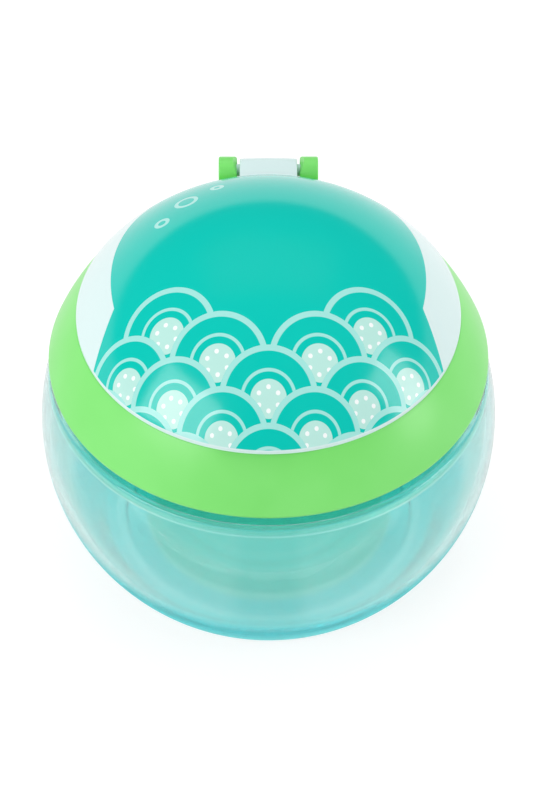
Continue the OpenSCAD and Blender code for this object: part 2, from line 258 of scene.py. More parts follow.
def thread_ramps():
    bm = bmesh.new()
    steps = 24
    for start in range(THREAD_STARTS):
        corners = [(NECK_R - RAMP_ROOT, 0), (CREST_R, RAMP_CHAMFER),
                   (CREST_R, RAMP_T - RAMP_CHAMFER), (NECK_R - RAMP_ROOT, RAMP_T)]
        low = RAMP_LOW_Z + RAMP_START * LEAD / 360
        ends = [bm.verts.new((r * MM, 0, (low + up) * MM)) for r, up in corners]
        face = bm.faces.new(ends)
        turn = Matrix.Rotation(math.radians(RAMP_START + 360 * start / THREAD_STARTS), 4, "Z")
        bmesh.ops.transform(bm, matrix=turn, verts=ends)
        bmesh.ops.spin(bm, geom=[face, *face.edges, *ends], cent=(0, 0, 0), axis=(0, 0, 1),
                       dvec=(0, 0, RAMP_SPAN * LEAD / 360 / steps * MM),
                       angle=math.radians(RAMP_SPAN), steps=steps)
    return piece_from("ramps", bm)


combine(cup, thread_ramps(), "UNION")
shade(cup)

# %% [markdown]
# The collar is a green ring: outside it follows the cup's ball, inside it has the
# seat for the lid, a deck with the round mouth, and a sleeve that plugs into the
# neck. Its shallow thumb scoop is pressed in by moving vertices, because a Boolean
# would leave long faces on a surface that shows every ripple.

# %% The collar's turned ring
GROOVE_Z, GROOVE_DEEP = PART_Z - 1.2, 0.3
BEAD_TOP_Z, BEAD_H, BEAD_PROUD = 53.3, 0.8, 0.5
LOW_ROUND = 1.0
BALL_START_Z = COLLAR_LOW_Z + LOW_ROUND + 0.2
LOW_R = ball_radius(COLLAR_R, BALL_START_Z - COLLAR_BALL_Z)

collar_section = (
    Section(THREAD_WALL_R, COLLAR_LOW_Z)
    .line(LOW_R + 0.1, COLLAR_LOW_Z, LOW_ROUND)
    .line(LOW_R, BALL_START_Z)
    .arc(COLLAR_BALL_Z, ball_radius(COLLAR_R, PART_Z - 0.3 - COLLAR_BALL_Z), PART_Z - 0.3, 26)
    .line(RIM_R - 0.05, PART_Z, 0.15)
    .line(SEAT_R, PART_Z, 0.3)
    .line(SEAT_R, GROOVE_Z + GROOVE_DEEP)
    .line(SEAT_R + GROOVE_DEEP, GROOVE_Z)
    .line(SEAT_R, GROOVE_Z - GROOVE_DEEP)
    .line(SEAT_R, DECK_TOP_Z, 0.4)
    .line(MOUTH_R, DECK_TOP_Z, 0.5)
    .line(MOUTH_R, DECK_LOW_Z, 0.3)
    .line(SLEEVE_BORE_R, DECK_LOW_Z)
    .line(SLEEVE_BORE_R, BEAD_TOP_Z)
    .line(SLEEVE_BORE_R - BEAD_PROUD, BEAD_TOP_Z - BEAD_H / 2)
    .line(SLEEVE_BORE_R - BEAD_PROUD, BEAD_TOP_Z - BEAD_H, 0.2)
    .line(SLEEVE_R, BEAD_TOP_Z - BEAD_H, 0.3)
    .line(SLEEVE_R, DECK_LOW_Z)
    .line(NECK_R + 0.9, DECK_LOW_Z)
    .line(THREAD_WALL_R, NECK_TOP_Z)
)
collar_bm = collar_section.turned(closed=True, steps=320)

# %% The thumb scoop at the front
SCOOP_DEPTH, SCOOP_H, SCOOP_BALL, SCOOP_SOFT = 1.6, 5.4, 150.0, 0.25
SCOOP_REACH_Z, SCOOP_LEAST = PART_Z - 12, 0.01


def scoop_centre():
    """The centre (y, z) of the large ball through the scoop's top and foot."""
    foot_z = PART_Z - SCOOP_H
    top = Vector((RIM_R - SCOOP_DEPTH, PART_Z))
    foot = Vector((ball_radius(COLLAR_R, foot_z - COLLAR_BALL_Z), foot_z))
    chord = foot - top
    out = Vector((-chord.y, chord.x)).normalized()
    return (top + foot) / 2 + ball_radius(SCOOP_BALL, chord.length / 2) * out


def press_scoop(bm):
    """Moves what lies inside the large ball out of it, with a soft start."""
    centre = Vector((0, -scoop_centre().x, scoop_centre().y))
    moved = 0
    for vert in bm.verts:
        place = vert.co / MM
        if place.y > 0 or place.xy.length < SEAT_R + 0.5 or place.z < SCOOP_REACH_Z:
            continue
        depth = SCOOP_BALL - (place - centre).length
        soft = 0.5 * (depth + math.sqrt(depth * depth + SCOOP_SOFT ** 2))
        if soft > SCOOP_LEAST:
            away = (place - centre).normalized()
            vert.co += away * soft * MM
            moved += 1
    print("scoop moved", moved, "vertices")


press_scoop(collar_bm)
collar = piece_from("collar_ring", collar_bm)

# %% [markdown]
# Two ears stand on the rear of the collar and carry the lid. Each is a drawn
# outline with a round top, extruded to its width. Its inner top corner slants, as
# the real one does: the lid's stub axles are pushed in over that slant, so this
# hinge needs no separate pin.

# %% The hinge ears
KNUCKLE_W, EAR_GAP, EAR_W, EAR_R, BORE = 12.2, 0.6, 3.9, 2.9, 1.36
EAR_IN = KNUCKLE_W / 2 + EAR_GAP
EAR_OUT = EAR_IN + EAR_W
EAR_FOOT_Z, EAR_WAIST_Z = COLLAR_LOW_Z + 3.2, PART_Z - 3.4
EAR_OUTER_ROUND, EAR_INNER_ROUND = 0.35, 0.25
LEAD_IN, LEAD_SLANT = 0.9, (-2.0, 0, 1.0)


def plate(outline, x_low, x_high):
    """A plate from an outline in the YZ plane, between two x places, in millimetres."""
    bm = bmesh.new()
    face = bm.faces.new([bm.verts.new((x_low * MM, y * MM, z * MM)) for y, z in outline])
    made = bmesh.ops.extrude_face_region(bm, geom=[face])["geom"]
    bmesh.ops.translate(bm, vec=((x_high - x_low) * MM, 0, 0),
                        verts=[g for g in made if isinstance(g, bmesh.types.BMVert)])
    bmesh.ops.recalc_face_normals(bm, faces=bm.faces)
    return bm


def round_edges(bm, edges, size, segments=4):
    bmesh.ops.bevel(bm, geom=list(edges), offset=size * MM, offset_type="OFFSET",
                    segments=segments, profile=0.5, affect="EDGES", material=-1)


def ring_points(y, z, r, a0, a1, steps):
    """Points on a circle in the YZ plane, from one angle to another, in degrees."""
    angles = [math.radians(a0 + (a1 - a0) * i / steps) for i in range(steps + 1)]
    return [(y + r * math.cos(a), z + r * math.sin(a)) for a in angles]


def ear_outline():
    foot_y = ball_radius(ball_radius(COLLAR_R, EAR_FOOT_Z - COLLAR_BALL_Z), EAR_OUT) - 0.2
    wall_y = ball_radius(THREAD_WALL_R, EAR_IN) + 0.2
    rim_y = ball_radius(RIM_R, EAR_OUT)
    return (ring_points(HINGE_Y, HINGE_Z, EAR_R, 0, 180, 28)
            + [(HINGE_Y - EAR_R, EAR_WAIST_Z), (rim_y, EAR_WAIST_Z), (rim_y, DECK_LOW_Z),
               (wall_y, DECK_LOW_Z), (wall_y, EAR_FOOT_Z), (foot_y, EAR_FOOT_Z)])


def ear(side):
    bm = plate(ear_outline(), EAR_IN, EAR_OUT)
    flat = [e for e in bm.edges
            if abs(e.verts[0].co.x - e.verts[1].co.x) < 1e-9
            and min(v.co.z for v in e.verts) > (HINGE_Z - 0.1) * MM]
    outer = [e for e in flat if e.verts[0].co.x > (EAR_OUT - 0.1) * MM]
    inner = [e for e in flat if e.verts[0].co.x < (EAR_IN + 0.1) * MM]
    round_edges(bm, outer, EAR_OUTER_ROUND)
    round_edges(bm, inner, EAR_INNER_ROUND)
    slant = Vector(LEAD_SLANT).normalized()
    corner = Vector((EAR_IN + LEAD_IN, HINGE_Y, HINGE_Z + EAR_R)) * MM
    bmesh.ops.bisect_plane(bm, geom=bm.verts[:] + bm.edges[:] + bm.faces[:], dist=1e-7,
                           plane_co=corner, plane_no=slant, clear_outer=True)
    bmesh.ops.holes_fill(bm, edges=[e for e in bm.edges if e.is_boundary])
    if side < 0:
        bmesh.ops.scale(bm, vec=(-1, 1, 1), verts=bm.verts)
        bmesh.ops.reverse_faces(bm, faces=bm.faces)
    return piece_from("ear", bm)


def bar(radius, half):
    """A round bar along X on the hinge's axis."""
    bm = bmesh.new()
    bmesh.ops.create_cone(bm, cap_ends=True, segments=40, radius1=radius * MM,
                          radius2=radius * MM, depth=2 * half * MM)
    bmesh.ops.rotate(bm, cent=(0, 0, 0), matrix=Matrix.Rotation(math.pi / 2, 3, "Y"),
                     verts=bm.verts)
    bmesh.ops.translate(bm, vec=(0, HINGE_Y * MM, HINGE_Z * MM), verts=bm.verts)
    return bm


for side in (1, -1):
    combine(collar, ear(side), "UNION")
combine(collar, piece_from("pin_hole", bar(BORE, EAR_OUT + 1)), "DIFFERENCE")

# %% The rear notch and the four lugs for the thread
NOTCH_HALF, NOTCH_Z = KNUCKLE_W / 2 + 0.4, PART_Z - 1.3
notch_bm = bmesh.new()
box_between(notch_bm, (-NOTCH_HALF, ball_radius(SEAT_R, NOTCH_HALF) - 0.3, NOTCH_Z),
            (NOTCH_HALF, RIM_R + 3, PART_Z + 1))
round_edges(notch_bm, [e for e in notch_bm.edges
                       if max(v.co.z for v in e.verts) < (NOTCH_Z + 0.1) * MM
                       and abs(e.verts[0].co.x - e.verts[1].co.x) < 1e-9], 0.3)
combine(collar, piece_from("notch", notch_bm), "DIFFERENCE")

LUG_SPAN, LUG_LOW_Z, LUG_H, LUG_CHAMFER = 12.0, 49.0, 1.4, 0.15
LUG_IN, LUG_BACK = NECK_R + 0.5, THREAD_WALL_R + 0.3
lug_bm = bmesh.new()
for start in range(THREAD_STARTS):
    points = [(LUG_IN, LUG_CHAMFER), (LUG_BACK, 0), (LUG_BACK, LUG_H),
              (LUG_IN, LUG_H - LUG_CHAMFER)]
    lug = [lug_bm.verts.new((r * MM, 0, (LUG_LOW_Z + up) * MM)) for r, up in points]
    face = lug_bm.faces.new(lug)
    turn = Matrix.Rotation(math.radians(360 * start / THREAD_STARTS - LUG_SPAN / 2), 4, "Z")
    bmesh.ops.transform(lug_bm, matrix=turn, verts=lug)
    bmesh.ops.spin(lug_bm, geom=[face, *face.edges, *lug], cent=(0, 0, 0), axis=(0, 0, 1),
                   angle=math.radians(LUG_SPAN), steps=6)
combine(collar, piece_from("lugs", lug_bm), "UNION")
shade(collar)

# %% [markdown]
# The lid is one moulding too: a dome over a flange that rests on the collar, a
# skirt that plugs into the seat, and an arm at the back with the knuckle.

# %% The lid's turned dome
LID_WALL, FLANGE_T, SKIRT_H, SKIRT_T = 1.6, 1.6, 2.4, 1.4
INNER_START_Z = PART_Z + FLANGE_T + 0.8
INNER_R = DOME_R - LID_WALL
SKIRT_R = SEAT_R - 0.3
EDGE_Z = PART_Z + EDGE_H
CLICK_Z = PART_Z - SKIRT_H / 2

lid_section = (
    Section(SKIRT_R - SKIRT_T, PART_Z - SKIRT_H)
    .line(SKIRT_R, PART_Z - SKIRT_H, 0.4)
    .line(SKIRT_R, PART_Z, 0.1)
    .line(RIM_R - 0.02, PART_Z, 0.12)
    .line(RIM_R - 0.02, EDGE_Z - 0.12)
    .line(ball_radius(DOME_R, EDGE_Z + 0.12 - DOME_Z), EDGE_Z + 0.12)
    .arc(DOME_Z, 0, LID_TOP_Z, 60)
)
lid_section.line(0, DOME_Z + INNER_R)
lid_section.arc(DOME_Z, ball_radius(INNER_R, INNER_START_Z - DOME_Z), INNER_START_Z, 52)
lid_section.line(SKIRT_R - SKIRT_T, PART_Z + FLANGE_T - 0.2, 1.2)
lid = piece_from("lid_dome", lid_section.turned(closed=True))

# %% [markdown]
# The hinge arm is drawn in side view, with the knuckle as a part of its outline.
# Its top is crowned by a third of a millimetre across, which the photo shows
# against the backdrop. A Boolean joins it and the stub axles to the dome.

# %% The hinge arm, the stubs and the thumb lip
KNUCKLE_R, CROWN, STUB_R = 2.6, 0.3, 1.3
ARM_LOW_Z = NOTCH_Z + 0.4
notch_edge_y = ball_radius(COLLAR_R, NOTCH_Z - COLLAR_BALL_Z)


def hinge_arm():
    outline = ([(SKIRT_R - 0.7, ARM_LOW_Z), (notch_edge_y + 0.4, ARM_LOW_Z)]
               + ring_points(HINGE_Y, HINGE_Z, KNUCKLE_R, -150, 90, 40)
               + [(SKIRT_R - 0.7, HINGE_Z + KNUCKLE_R)])
    bm = plate(outline, -KNUCKLE_W / 2, KNUCKLE_W / 2)
    rims = [e for e in bm.edges if abs(e.verts[0].co.x - e.verts[1].co.x) < 1e-9
            and max(v.co.z for v in e.verts) > (HINGE_Z - KNUCKLE_R * 0.9) * MM
            and min(v.co.y for v in e.verts) > (SKIRT_R + 1) * MM]
    round_edges(bm, rims, 0.3)
    for cut in range(-5, 6):
        bmesh.ops.bisect_plane(bm, geom=bm.verts[:] + bm.edges[:] + bm.faces[:], dist=1e-7,
                               plane_co=(cut * MM, 0, 0), plane_no=(1, 0, 0))
    for vert in bm.verts:
        across = vert.co.x / MM / (KNUCKLE_W / 2)
        up = (vert.co.z / MM - HINGE_Z) / KNUCKLE_R
        if up > 0:
            vert.co.z -= CROWN * across ** 2 * up * MM
    return piece_from("arm", bm)


combine(lid, hinge_arm(), "UNION")
combine(lid, piece_from("stubs", bar(STUB_R, EAR_OUT - 0.3)), "UNION")

THUMB_R, THUMB_PROUD = 30.0, 0.5
lip_bm = bmesh.new()
bmesh.ops.create_cone(lip_bm, cap_ends=True, segments=240, radius1=THUMB_R * MM,
                      radius2=THUMB_R * MM, depth=(EDGE_H - 0.05) * MM)
bmesh.ops.translate(lip_bm, verts=lip_bm.verts,
                    vec=(0, (THUMB_R - RIM_R - THUMB_PROUD) * MM, (PART_Z + EDGE_H / 2) * MM))
bmesh.ops.bisect_plane(lip_bm, geom=lip_bm.verts[:] + lip_bm.edges[:] + lip_bm.faces[:],
                       dist=1e-7, plane_co=(0, -(RIM_R - 3.2) * MM, 0), plane_no=(0, 1, 0),
                       clear_outer=True)
bmesh.ops.holes_fill(lip_bm, edges=[e for e in lip_bm.edges if e.is_boundary])
round_edges(lip_bm, [e for e in lip_bm.edges if e.calc_face_angle(0) > 1
                     and e.verts[0].co.y < -(RIM_R - 3) * MM], 0.12, 3)
combine(lid, piece_from("lip", lip_bm), "UNION")

CLICK_START, CLICK_SPAN, CLICK_HALF, CLICK_PROUD = -115.0, 50.0, 0.3, 0.15
click_bm = bmesh.new()
click_outline = [(SKIRT_R - 0.2, CLICK_Z - CLICK_HALF), (SKIRT_R + CLICK_PROUD, CLICK_Z),
                 (SKIRT_R - 0.2, CLICK_Z + CLICK_HALF)]
click = [click_bm.verts.new((r * MM, 0, z * MM)) for r, z in click_outline]
click_face = click_bm.faces.new(click)
bmesh.ops.transform(click_bm, verts=click,
                    matrix=Matrix.Rotation(math.radians(CLICK_START), 4, "Z"))
bmesh.ops.spin(click_bm, geom=[click_face, *click_face.edges, *click], cent=(0, 0, 0),
               axis=(0, 0, 1), angle=math.radians(CLICK_SPAN), steps=36)
combine(lid, piece_from("click_bead", click_bm), "UNION")
shade(lid)

# %% [markdown]
# Under the lid sits the soft insert: a ring with a straight edge for each of six
# flaps. On the real cup it is one piece of elastomer that bends at the flaps'
# roots. Here each flap is a piece of its own, whose root reaches into the ring.

# %% The flap ring, the clamp ring and the seal
INSERT_R, INSERT_T, CLAMP_T = SLEEVE_BORE_R - 0.15, 1.4, 1.4
INSERT_Z = DECK_LOW_Z - INSERT_T
HOLE_REACH = FLAP_REACH + 0.9
FLAP_T, SLIT_W, TIP_HOLE_R = 1.2, 0.5, 1.6
INSERT_STEPS = 192


def flap_ring():
    """A round plate with a hole that has one straight side for each flap."""
    disc_section = (
        Section(0, INSERT_Z)
        .line(INSERT_R, INSERT_Z, 0.2)
        .line(INSERT_R, INSERT_Z + INSERT_T, 0.2)
        .line(0, INSERT_Z + INSERT_T)
    )
    ring = piece_from("flap_ring_soft", disc_section.turned(steps=INSERT_STEPS))
    hole = bmesh.new()
    corner_r = HOLE_REACH / math.cos(math.pi / FLAP_COUNT) * MM
    bmesh.ops.create_cone(hole, cap_ends=True, segments=FLAP_COUNT, depth=4 * MM,
                          radius1=corner_r, radius2=corner_r)
    first = max(hole.verts, key=lambda v: v.co.y)
    lean = math.atan2(first.co.y, first.co.x)
    bmesh.ops.rotate(hole, cent=(0, 0, 0), verts=hole.verts,
                     matrix=Matrix.Rotation(math.pi / FLAP_COUNT - lean, 3, "Z"))
    bmesh.ops.translate(hole, vec=(0, 0, (INSERT_Z + INSERT_T / 2) * MM), verts=hole.verts)
    return combine(ring, piece_from("flap_hole", hole), "DIFFERENCE")


ring = shade(flap_ring())

clamp = shade(piece_from("flap_clamp_ring", (
    Section(MOUTH_R + 0.3, INSERT_Z - CLAMP_T + 0.3)
    .line(MOUTH_R + 0.3, INSERT_Z, 0.2)
    .line(INSERT_R, INSERT_Z, 0.15)
    .line(INSERT_R, INSERT_Z - CLAMP_T, 0.3)
    .line(MOUTH_R + 0.6, INSERT_Z - CLAMP_T)
).turned(closed=True, steps=INSERT_STEPS)))

seal = shade(piece_from("mouth_seal_ring", (
    Section(SLEEVE_R + 0.6, NECK_TOP_Z)
    .line(NECK_R + 0.6, NECK_TOP_Z, 0.3)
    .line(NECK_R + 0.6, NECK_TOP_Z + 1.5, 0.3)
    .line(SLEEVE_R + 0.3, NECK_TOP_Z + 1.5, 0.3)
    .line(SLEEVE_R + 0.3, NECK_TOP_Z + 0.3)
).turned(closed=True, steps=INSERT_STEPS)))

# %% The six flaps
FLAP_ROOT, FLAP_ROUND = 1.6, 0.35
CUTS_OUT = [3, 5, 7.5, 10, 13, 16, 19, 21.5, 23.5] + [24.5 + 0.4 * i for i in range(9)]
CUTS_ACROSS = (-9, -6, -3, 0, 3, 6, 9)


def flap_petal(index):
    """A wedge of the mouth, rounded all round, whose root lies inside the ring."""
    turn = 2 * math.pi * index / FLAP_COUNT
    bm = bmesh.new()
    half_angle = math.pi / FLAP_COUNT
    back = SLIT_W / 2 / math.sin(half_angle)
    half = FLAP_REACH * math.tan(half_angle) - SLIT_W / 2 / math.cos(half_angle)
    root = FLAP_REACH + FLAP_ROOT
    low_z = (BEND_Z - FLAP_T / 2) * MM
    tip_x = back + TIP_HOLE_R
    slope = half / (FLAP_REACH - back)
    corners = [(tip_x, -slope * (tip_x - back)), (FLAP_REACH, -half), (root, -half + 0.4),
               (root, half - 0.4), (FLAP_REACH, half), (tip_x, slope * (tip_x - back))]
    face = bm.faces.new([bm.verts.new((x * MM, y * MM, low_z)) for x, y in corners])
    top = bmesh.ops.extrude_face_region(bm, geom=[face])["geom"]
    bmesh.ops.translate(bm, vec=(0, 0, FLAP_T * MM),
                        verts=[g for g in top if isinstance(g, bmesh.types.BMVert)])
    bmesh.ops.recalc_face_normals(bm, faces=bm.faces)
    round_edges(bm, [e for e in bm.edges if e.verts[0].co.x < (FLAP_REACH + 0.01) * MM
                     and e.verts[1].co.x < (FLAP_REACH + 0.01) * MM], FLAP_ROUND)
    for at in CUTS_OUT:
        bmesh.ops.bisect_plane(bm, geom=bm.verts[:] + bm.edges[:] + bm.faces[:], dist=1e-7,
                               plane_co=(at * MM, 0, 0), plane_no=(1, 0, 0))
    for at in CUTS_ACROSS:
        bmesh.ops.bisect_plane(bm, geom=bm.verts[:] + bm.edges[:] + bm.faces[:], dist=1e-7,
                               plane_co=(0, at * MM, 0), plane_no=(0, 1, 0))
    bmesh.ops.rotate(bm, cent=(0, 0, 0), verts=bm.verts, matrix=Matrix.Rotation(turn, 3, "Z"))
    petal = shade(piece_from("flap_%d_petal" % (index + 1), bm))
    body = "flap_%d" % (index + 1)
    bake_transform(petal)
    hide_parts(body)
    return petal


petals = [flap_petal(index) for index in range(FLAP_COUNT)]

# %% Where each piece rides
for piece, body, node, slot in [
        (cup, "cup", "cup", "cup_plastic"),
        (collar, "collar", "collar", "collar_plastic"),
        (lid, "lid", "lid", "lid_plastic"),
        (ring, "collar", "flap_ring", "flap_silicone"),
        (clamp, "collar", "flap_clamp", "collar_plastic"),
        (seal, "seal", "mouth_seal", "seal_silicone")]:
    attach(piece, body)
    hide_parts(node)

# %% [markdown]
# The finishes are node materials. One small class wraps a socket, so that maths on
# masks reads as maths: `1 - mask` adds a Math node. Any other node comes from one
# method, which sets the node's settings first and then its sockets.

# %% Signals and recipes


class Signal:
    """A socket of a node tree that takes part in Python expressions."""

    def __init__(self, recipe, socket):
        self.recipe, self.socket = recipe, socket

    def maths(self, operation, *others):
        """A maths node whose first value is this signal."""
        return self.recipe.add("ShaderNodeMath", {"operation": operation},
                               dict(enumerate((self, *others))))

    def __add__(self, other):
        return self.maths("ADD", other)

    def __sub__(self, other):
        return self.maths("SUBTRACT", other)

    def __rsub__(self, other):
        return self.recipe.add("ShaderNodeMath", {"operation": "SUBTRACT"}, {0: other, 1: self})

    def __mul__(self, other):
        return self.maths("MULTIPLY", other)

    def __truediv__(self, other):
        return self.maths("DIVIDE", other)

    __radd__, __rmul__ = __add__, __mul__

    def between(self, start, end):
        """0 at start, 1 at end, and smooth from one to the other."""
        return self.recipe.add("ShaderNodeMapRange", {"interpolation_type": "SMOOTHSTEP"},
                               {0: self, 1: start, 2: end, 3: 0.0, 4: 1.0})

    def length_with(self, other):
        """The length of the arrow that has the two signals as its sides."""
        return (self * self + other * other).maths("SQRT")


class Recipe:
    """A node tree that is written as expressions."""

    def __init__(self, tree):
        self.tree = tree

    def add(self, kind, settings, sockets, output=0):
        node = self.tree.nodes.new(kind)
        for name, value in settings.items():
            setattr(node, name, value)
        for key, value in sockets.items():
            if isinstance(value, Signal):
                self.tree.links.new(value.socket, node.inputs[key])
            else:
                node.inputs[key].default_value = value
        return Signal(self, node.outputs[output])

    def colours(self, mask, low, high):
        """low where the mask is 0, high where it is 1."""
        return self.add("ShaderNodeMix", {"data_type": "RGBA"}, {0: mask, 6: low, 7: high}, 2)

    def noise(self, place, scale, detail=2.0):
        return self.add("ShaderNodeTexNoise", {}, {"Vector": place, "Scale": scale,
                                                   "Detail": detail})


def tint(red, green, blue):
    """A colour as a designer names it, 0 to 255, for a socket that wants linear light."""
    linear = [c / 12.92 if c <= 0.04045 else ((c + 0.055) / 1.055) ** 2.4
              for c in (red / 255, green / 255, blue / 255)]
    return (*linear, 1.0)


class Finish(Recipe):
    """A material with one Principled shader, read in the object's own coordinates."""

    def __init__(self, name, constants):
        self.material = bpy.data.materials.new(name)
        self.material.use_nodes = True
        super().__init__(self.material.node_tree)
        self.shader = self.tree.nodes["Principled BSDF"]
        for socket, value in constants.items():
            self.shader.inputs[socket].default_value = value
        self.place = self.add("ShaderNodeTexCoord", {}, {}, 3)

    def axes(self):
        """x, y and z of the place, in millimetres."""
        node = self.tree.nodes.new("ShaderNodeSeparateXYZ")
        self.tree.links.new(self.place.socket, node.inputs[0])
        return [Signal(self, out) * 1000.0 for out in node.outputs]

    def feed(self, socket, value):
        self.tree.links.new(value.socket, self.shader.inputs[socket])

    def bump(self, height, distance):
        self.feed("Normal", self.add("ShaderNodeBump", {}, {"Height": height,
                                                            "Distance": distance}))

    def dress(self, *pieces):
        for piece in pieces:
            piece.data.materials.clear()
            piece.data.materials.append(self.material)
        print(self.material.name, "on", [piece.name for piece in pieces])


# %% [markdown]
# The cup's plastic is tinted and clear, but not as clear as glass: a part of its
# shader is plain colour, for the haze in it. The tint is pale, because light crosses
# two walls on its way. It is deeper round the foot, where the plastic is thick. In
# the flat floor it is deeper partly for the thickness and partly as painted shade of
# the table under the cup. The ledge and neck get painted shade, a deeper tint for the
# collar's shadow on them. The shoulder's two ridges get a painted highlight, a whiter
# tint. A thin sheen pales the edges, as fine scratches do. Slow waves from the mould
# and faint rubbing keep the polish from looking machined.

# %% The cup's translucent plastic
WALL_TINT, CLOUD_TINT = tint(206, 248, 243), tint(212, 250, 246)
# The bed's tint is deeper for the thick floor, and partly painted shade of the table under the
# cup.
BED_THICK_AND_SHADE_TINT, FOOT_TINT = tint(90, 218, 205), tint(4, 206, 222)
# The ledge tint is painted shade from the collar, and the whitest tint is a painted highlight
# on the ridges.
LEDGE_SHADE_TINT, RIDGE_HIGHLIGHT_TINT = tint(120, 222, 200), tint(240, 254, 252)
SKIN_R, UNDERSIDE_Z = BODY_R - 1.8, 0.6
FOOT_TOP_Z, FOOT_SOFT = 11.0, 4.5
BED_R, BED_SOFT = 26.4, 0.8
LEDGE_R, LEDGE_Z = EDGE_R - 1.7, SHOULDER_Z - 4.0
cup_finish = Finish("Translucent aqua plastic", {
    "IOR": 1.36, "Transmission Weight": 0.92, "Coat Weight": 0.4, "Coat Roughness": 0.04,
    "Sheen Weight": 0.3, "Sheen Roughness": 0.35})
cup_x, cup_y, cup_z = cup_finish.axes()
cup_r = cup_x.length_with(cup_y)
skin = cup_r.length_with(cup_z - EQUATOR_Z).between(SKIN_R, SKIN_R + 0.6)
underside = 1 - cup_z.between(UNDERSIDE_Z, UNDERSIDE_Z + 0.4)
foot_band = 1 - cup_z.between(FOOT_TOP_Z, FOOT_TOP_Z + FOOT_SOFT)
foot = (skin * foot_band).maths("MAXIMUM", underside)
# The floor's bed: deeper for its thickness, and painted shade of the table under the cup.
bed_thick_and_shade = 1 - cup_r.between(BED_R, BED_R + BED_SOFT)
bed_thick_and_shade = bed_thick_and_shade * (1 - cup_z.between(FLOOR_T + 0.5, FLOOR_T + 1.0))
# Painted shade on the ledge and neck under the collar.
ledge_shade = 1 - cup_r.between(LEDGE_R, LEDGE_R + 0.4)
ledge_shade = ledge_shade * cup_z.between(LEDGE_Z, LEDGE_Z + 1.0)


def highlight_ring(r, z):
    """A fine line round a ridge of the shoulder, for a painted highlight."""
    return 1 - (cup_r - r).length_with(cup_z - z).between(0.25, 0.5)


# Painted highlights on the shoulder's two ridges.
ridge_highlights = highlight_ring(EDGE_R - 0.15, LIP_Z - 0.15) + highlight_ring(EDGE_R - LIP_W, LIP_Z - 0.1)
cloud = cup_finish.noise(cup_finish.place, 45.0)
rubbed = cup_finish.noise(cup_finish.place, 900.0, 4.0)
cup_colour = cup_finish.colours(cloud.between(0.35, 0.7), WALL_TINT, CLOUD_TINT)
for mask, layer_tint in [(ledge_shade, LEDGE_SHADE_TINT), (foot, FOOT_TINT), (bed_thick_and_shade, BED_THICK_AND_SHADE_TINT),
                     (ridge_highlights, RIDGE_HIGHLIGHT_TINT)]:
    cup_colour = cup_finish.colours(mask, cup_colour, layer_tint)
cup_finish.feed("Base Color", cup_colour)
cup_finish.feed("Roughness", 0.06 + 0.04 * rubbed.between(0.45, 0.75))
cup_finish.feed("Alpha", 0.84 + 0.06 * cloud)
cup_finish.bump(cloud, 0.00002)
cup_finish.dress(cup)

# %% [markdown]
# The collar is opaque, with a satin gloss. The tool's spark-eroded grain is so fine
# that it only softens the highlights.

# %% The collar's green plastic
green = Finish("Green satin plastic", {"IOR": 1.46})
mottle = green.noise(green.place, 60.0)
grain = green.noise(green.place, 2600.0, 3.0)
green.feed("Base Color", green.colours(mottle.between(0.3, 0.7), tint(126, 228, 112),
                                       tint(132, 231, 119)))
green.feed("Roughness", 0.27 + 0.08 * grain)
green.bump(0.5 * mottle + 0.08 * grain, 0.00003)
green.dress(collar, clamp)

# %% [markdown]
# The lid is pale mint with a printed field. The print is drawn on the dome's own
# surface: its place is measured along the arc from the top, so that circles stay
# round down to the rim. The motif is the traditional pattern of overlapping fans.
# Rows of circles lie one behind the other, and the lowest row is in front.

# %% Where a point lies on the dome
MINT, RIM_MINT = tint(219, 240, 239), tint(210, 237, 235)
TEAL, LINE = tint(0, 201, 186), tint(166, 232, 224)
PALE, WHITE = tint(190, 236, 226), tint(250, 255, 254)
PRINT_BACK_V, PRINT_DEPTH, PRINT_LOW_Z = 40.4, 0.5, EDGE_Z + 0.15
lid_finish = Finish("Mint plastic with a printed dome", {"IOR": 1.46})
x, y, z = lid_finish.axes()
across = x.length_with(y)
up = z - DOME_Z
along = across.maths("ARCTAN2", up) * DOME_R
stretch = along / (across + 0.001)
u, v = x * stretch, y * stretch
skin_r = DOME_R - PRINT_DEPTH
on_dome = across.length_with(up).between(skin_r - 0.05, skin_r + 0.05)
on_dome = on_dome * z.between(PRINT_LOW_Z, PRINT_LOW_Z + 0.1)
on_dome = on_dome * (1 - v.between(PRINT_BACK_V, PRINT_BACK_V + 0.2))

# %% The fans
FAN_R, FAN_ROW, FRONT_V = 10.6, 7.6, -50.5
FAN_LINE, INNER_LINE, SOFT = 1.15, 0.7, 0.12
INNER, CORE_R = 0.56 * FAN_R, 0.36 * FAN_R
CREST_V, CREST_CURVE, FAN_SIDE, SIDE_SLOPE = -23.0, 0.0165, 22.0, 0.6


def fan_row(offset):
    """Where a point lies from the nearest fan's centre, in a row counted from its own."""
    row = ((v - FRONT_V) / FAN_ROW).maths("FLOOR") - offset
    half_shift = (row + 64.0).maths("MODULO", 2.0)
    column = u / (2 * FAN_R) + half_shift * 0.5
    cell = (column + 0.5).maths("FLOOR")
    du = (column - cell) * (2 * FAN_R)
    dv = v - FRONT_V - row * FAN_ROW
    fan_u = (cell - half_shift * 0.5) * (2 * FAN_R)
    return du, dv, row, du.length_with(dv), fan_u


def choose(mask, low, high):
    return low + (high - low) * mask


def over(front, behind):
    """The fan in front where the point lies in its circle, or else the one behind."""
    inside = 1 - front[3].between(FAN_R - 0.01, FAN_R + 0.01)
    return [choose(inside, b, a) for a, b in zip(front, behind)]


